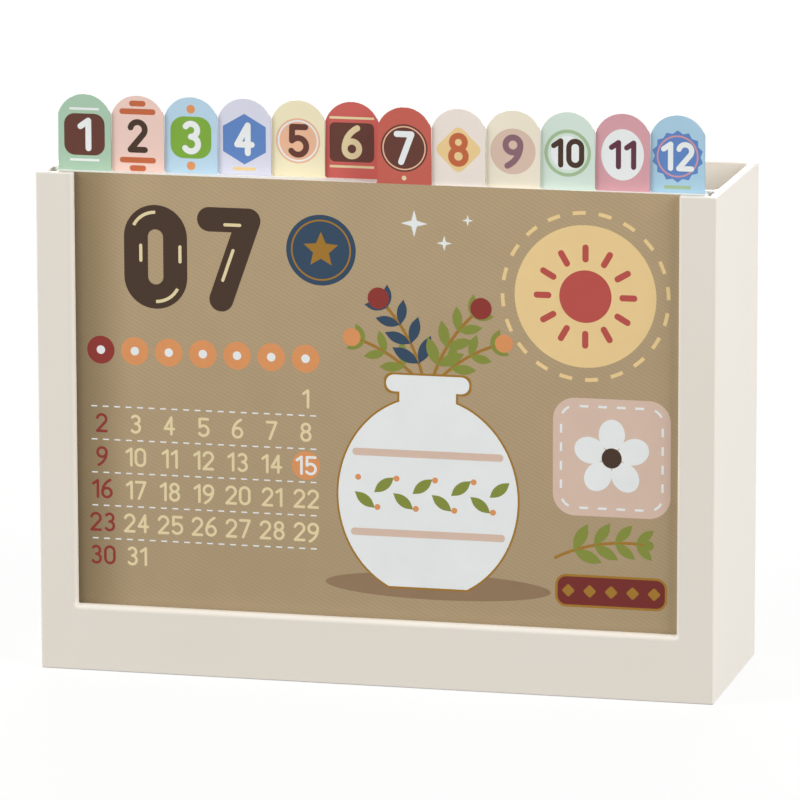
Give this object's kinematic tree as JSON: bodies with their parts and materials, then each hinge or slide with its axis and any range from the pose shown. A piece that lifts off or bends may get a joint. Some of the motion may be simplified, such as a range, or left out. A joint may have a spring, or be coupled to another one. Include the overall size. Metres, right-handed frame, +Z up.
{
  "type": "desk calendar with pen holder",
  "caption": "Upright desk calendar: an open-topped moulded case with a U-shaped front frame, lift-out month cards with staggered index tabs in a slot, and an open pen bin behind.",
  "frame": {"origin": "under the middle of the case, on the surface that it stands on", "axes": "+X to the right seen from the front, +Y towards the back, +Z up"},
  "size_m": [0.204, 0.0654, 0.1726],
  "materials": {
    "case_plastic": "cream injection-moulded ABS, fine satin texture",
    "card_01_stock": "coated printed card stock with white cut edges",
    "card_02_stock": "coated printed card stock with white cut edges",
    "card_03_stock": "coated printed card stock with white cut edges",
    "card_04_stock": "coated printed card stock with white cut edges",
    "card_05_stock": "coated printed card stock with white cut edges",
    "card_06_stock": "coated printed card stock with white cut edges",
    "card_07_stock": "coated printed card stock with white cut edges",
    "card_08_stock": "coated printed card stock with white cut edges",
    "card_09_stock": "coated printed card stock with white cut edges",
    "card_10_stock": "coated printed card stock with white cut edges",
    "card_11_stock": "coated printed card stock with white cut edges",
    "card_12_stock": "coated printed card stock with white cut edges"
  },
  "bodies": {
    "case": {"case": "case_plastic"},
    "card_01": {"card_01": "card_01_stock"},
    "card_02": {"card_02": "card_02_stock"},
    "card_03": {"card_03": "card_03_stock"},
    "card_04": {"card_04": "card_04_stock"},
    "card_05": {"card_05": "card_05_stock"},
    "card_06": {"card_06": "card_06_stock"},
    "card_07": {"card_07": "card_07_stock"},
    "card_08": {"card_08": "card_08_stock"},
    "card_09": {"card_09": "card_09_stock"},
    "card_10": {"card_10": "card_10_stock"},
    "card_11": {"card_11": "card_11_stock"},
    "card_12": {"card_12": "card_12_stock"}
  },
  "joints": [
    {"name": "card_01_lift", "type": "slide", "parent": "case", "child": "card_01", "axis": [0, 0, 1], "range_m": [0, 0.155]},
    {"name": "card_02_lift", "type": "slide", "parent": "case", "child": "card_02", "axis": [0, 0, 1], "range_m": [0, 0.155]},
    {"name": "card_03_lift", "type": "slide", "parent": "case", "child": "card_03", "axis": [0, 0, 1], "range_m": [0, 0.155]},
    {"name": "card_04_lift", "type": "slide", "parent": "case", "child": "card_04", "axis": [0, 0, 1], "range_m": [0, 0.155]},
    {"name": "card_05_lift", "type": "slide", "parent": "case", "child": "card_05", "axis": [0, 0, 1], "range_m": [0, 0.155]},
    {"name": "card_06_lift", "type": "slide", "parent": "case", "child": "card_06", "axis": [0, 0, 1], "range_m": [0, 0.155]},
    {"name": "card_07_lift", "type": "slide", "parent": "case", "child": "card_07", "axis": [0, 0, 1], "range_m": [0, 0.155]},
    {"name": "card_08_lift", "type": "slide", "parent": "case", "child": "card_08", "axis": [0, 0, 1], "range_m": [0, 0.155]},
    {"name": "card_09_lift", "type": "slide", "parent": "case", "child": "card_09", "axis": [0, 0, 1], "range_m": [0, 0.155]},
    {"name": "card_10_lift", "type": "slide", "parent": "case", "child": "card_10", "axis": [0, 0, 1], "range_m": [0, 0.155]},
    {"name": "card_11_lift", "type": "slide", "parent": "case", "child": "card_11", "axis": [0, 0, 1], "range_m": [0, 0.155]},
    {"name": "card_12_lift", "type": "slide", "parent": "case", "child": "card_12", "axis": [0, 0, 1], "range_m": [0, 0.155]}
  ]
}
